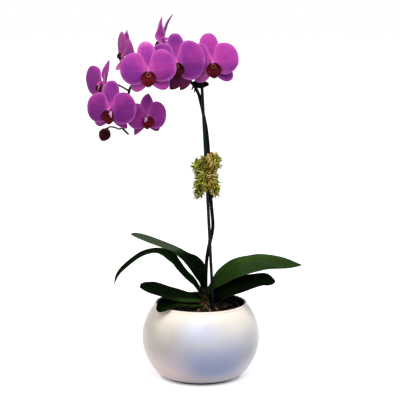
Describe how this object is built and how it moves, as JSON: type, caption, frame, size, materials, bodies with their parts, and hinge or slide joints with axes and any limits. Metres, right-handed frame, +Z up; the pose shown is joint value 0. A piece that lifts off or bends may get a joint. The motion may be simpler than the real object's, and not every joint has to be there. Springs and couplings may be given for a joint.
{
  "type": "potted_orchid",
  "caption": "A potted moth orchid with magenta flowers on an arching, staked spike, dark strap leaves and a moss bundle, in a pearl-glazed bubble bowl",
  "frame": {"origin": "Centre of the bowl's foot, on the surface that the pot stands on.", "axes": "+Z is up, along the spike's rise. -Y is the front, the way the flowers face. +X is to the right as seen from the front."},
  "size_m": [0.3468, 0.1922, 0.5808],
  "materials": {
    "glaze": "pearly gloss glaze",
    "black_plastic": "satin",
    "bark_mix": "loose fine bark, dark",
    "bark_chips": "rough",
    "roots": "dry, scaly",
    "leaf": "thick waxy leaf, satin",
    "stem": "satin",
    "stake_coat": "dark satin",
    "moss": "dry fibres, matte",
    "twine": "twisted fibre",
    "bud_skin": "satin",
    "petal": "soft sheen with fine veins",
    "sepal": "soft sheen with fine veins",
    "lip": "velvety",
    "column": "satin"
  },
  "bodies": {
    "root": {"bowl": "glaze", "grow_pot": "black_plastic", "potting_mix": "bark_mix", "bark_chip_1": "bark_chips", "bark_chip_2": "bark_chips", "bark_chip_3": "bark_chips", "crown_and_roots": "roots", "leaf_1": "leaf", "leaf_2": "leaf", "leaf_3": "leaf", "leaf_4": "leaf", "leaf_5": "leaf", "leaf_6": "leaf", "flower_spike": "stem", "stake": "stake_coat", "stem_clip": "black_plastic", "moss_bundle": "moss", "moss_tie": "twine", "bud": "bud_skin", "flower_1_petal_left": "petal", "flower_1_petal_right": "petal", "flower_1_sepals": "sepal", "flower_1_lip": "lip", "flower_1_column": "column", "flower_2_petal_left": "petal", "flower_2_petal_right": "petal", "flower_2_sepals": "sepal", "flower_2_lip": "lip", "flower_2_column": "column", "flower_3_petal_left": "petal", "flower_3_petal_right": "petal", "flower_3_sepals": "sepal", "flower_3_lip": "lip", "flower_3_column": "column", "flower_4_petal_left": "petal", "flower_4_petal_right": "petal", "flower_4_sepals": "sepal", "flower_4_lip": "lip", "flower_4_column": "column", "flower_5_petal_left": "petal", "flower_5_petal_right": "petal", "flower_5_sepals": "sepal", "flower_5_lip": "lip", "flower_5_column": "column", "flower_6_petal_left": "petal", "flower_6_petal_right": "petal", "flower_6_sepals": "sepal", "flower_6_lip": "lip", "flower_6_column": "column", "flower_7_petal_left": "petal", "flower_7_petal_right": "petal", "flower_7_sepals": "sepal", "flower_7_lip": "lip", "flower_7_column": "column", "flower_8_petal_left": "petal", "flower_8_petal_right": "petal", "flower_8_sepals": "sepal", "flower_8_lip": "lip", "flower_8_column": "column"}
  },
  "joints": []
}
